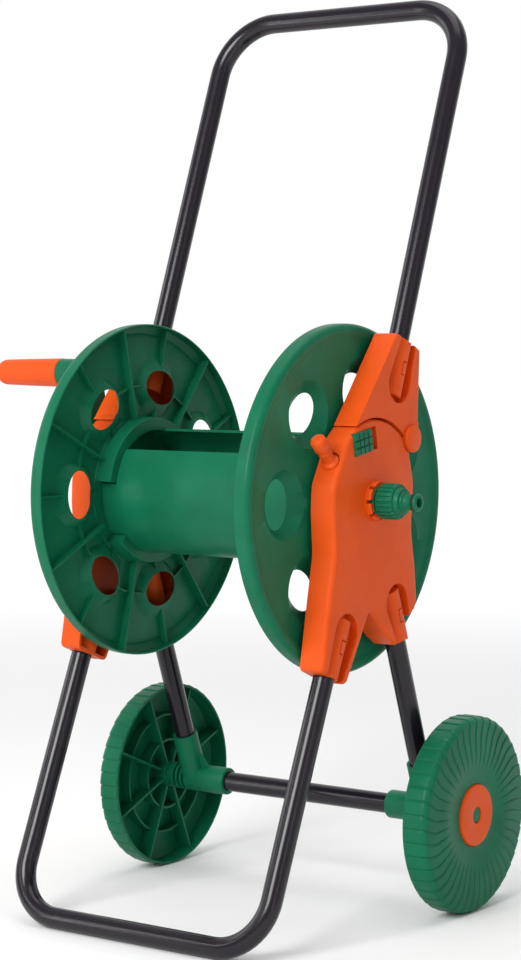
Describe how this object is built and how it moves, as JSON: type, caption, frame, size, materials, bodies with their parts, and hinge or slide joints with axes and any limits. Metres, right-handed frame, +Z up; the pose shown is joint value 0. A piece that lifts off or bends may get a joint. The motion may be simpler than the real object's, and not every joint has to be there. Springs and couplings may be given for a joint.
{
  "type": "garden hose reel cart",
  "caption": "Wheeled hose reel cart: folding tubular handle, winding drum with hand crank between two moulded side plates, swivelling water inlet, front hoop foot and two rear wheels.",
  "frame": {"origin": "centre of the bounding box at floor level: the hoop's bar and both wheels stand on z = 0", "axes": "+Z up; +X along the drum's axis towards the water inlet, with the crank at -X; +Y from the front hoop towards the wheels, the way the handle leans"},
  "size_m": [0.4952, 0.3931, 0.8958],
  "materials": {
    "green_plastic": "satin moulded polypropylene",
    "orange_plastic": "satin moulded polypropylene",
    "black_painted_tube": "gloss powder coat",
    "zinc_steel": "zinc plated",
    "black_rubber": "matte"
  },
  "bodies": {
    "frame": {"side_plate_left": "orange_plastic", "side_plate_right": "orange_plastic", "front_hoop_tube": "black_painted_tube", "rear_leg_tube_left": "black_painted_tube", "rear_leg_tube_right": "black_painted_tube", "cross_tube": "black_painted_tube", "wheel_bracket_left": "green_plastic", "wheel_bracket_right": "green_plastic", "wheel_cap_left": "orange_plastic", "wheel_cap_right": "orange_plastic", "fold_pin_left": "orange_plastic", "fold_pin_right": "orange_plastic", "hose_end_peg": "orange_plastic", "inlet_spindle": "green_plastic", "spindle_clip": "zinc_steel", "spindle_o_ring": "black_rubber", "inlet_washer": "black_rubber", "tap_adaptor": "green_plastic", "nipple_o_ring": "black_rubber"},
    "handle": {"handle_tube": "black_painted_tube", "handle_bracket_left": "orange_plastic", "handle_bracket_right": "orange_plastic"},
    "drum": {"drum_flange_left": "green_plastic", "drum_flange_right": "green_plastic", "drum_panel_front": "green_plastic", "drum_panel_rear": "green_plastic", "crank_arm": "green_plastic", "crank_screw": "zinc_steel", "drum_elbow": "green_plastic", "hose_nipple": "green_plastic", "hose_nut": "green_plastic"},
    "grip": {"crank_grip": "orange_plastic"},
    "wheel_l": {"wheel_left": "green_plastic"},
    "wheel_r": {"wheel_right": "green_plastic"},
    "lock_l": {"fold_lock_left": "green_plastic"},
    "lock_r": {"fold_lock_right": "green_plastic"}
  },
  "joints": [
    {"name": "handle_fold", "type": "hinge", "parent": "frame", "child": "handle", "pos_m": [0.0431, 0.04413, 0.4627], "axis": [-1, 0, 0], "range_deg": [0, 120]},
    {"name": "drum_spin", "type": "hinge", "parent": "frame", "child": "drum", "pos_m": [0.0431, -0.01857, 0.407], "axis": [1, 0, 0], "continuous": true},
    {"name": "grip_spin", "type": "hinge", "parent": "drum", "child": "grip", "pos_m": [-0.2056, -0.03857, 0.523], "axis": [1, 0, 0], "continuous": true},
    {"name": "wheel_spin_left", "type": "hinge", "parent": "frame", "child": "wheel_l", "pos_m": [-0.1434, 0.1006, 0.096], "axis": [1, 0, 0], "continuous": true},
    {"name": "wheel_spin_right", "type": "hinge", "parent": "frame", "child": "wheel_r", "pos_m": [0.2296, 0.1006, 0.096], "axis": [1, 0, 0], "continuous": true},
    {"name": "fold_lock_slide_left", "type": "slide", "parent": "frame", "child": "lock_l", "axis": [0, 0.9848, 0.1736], "range_m": [0, 0.01]},
    {"name": "fold_lock_slide_right", "type": "slide", "parent": "frame", "child": "lock_r", "axis": [0, 0.9848, 0.1736], "range_m": [0, 0.01]}
  ]
}
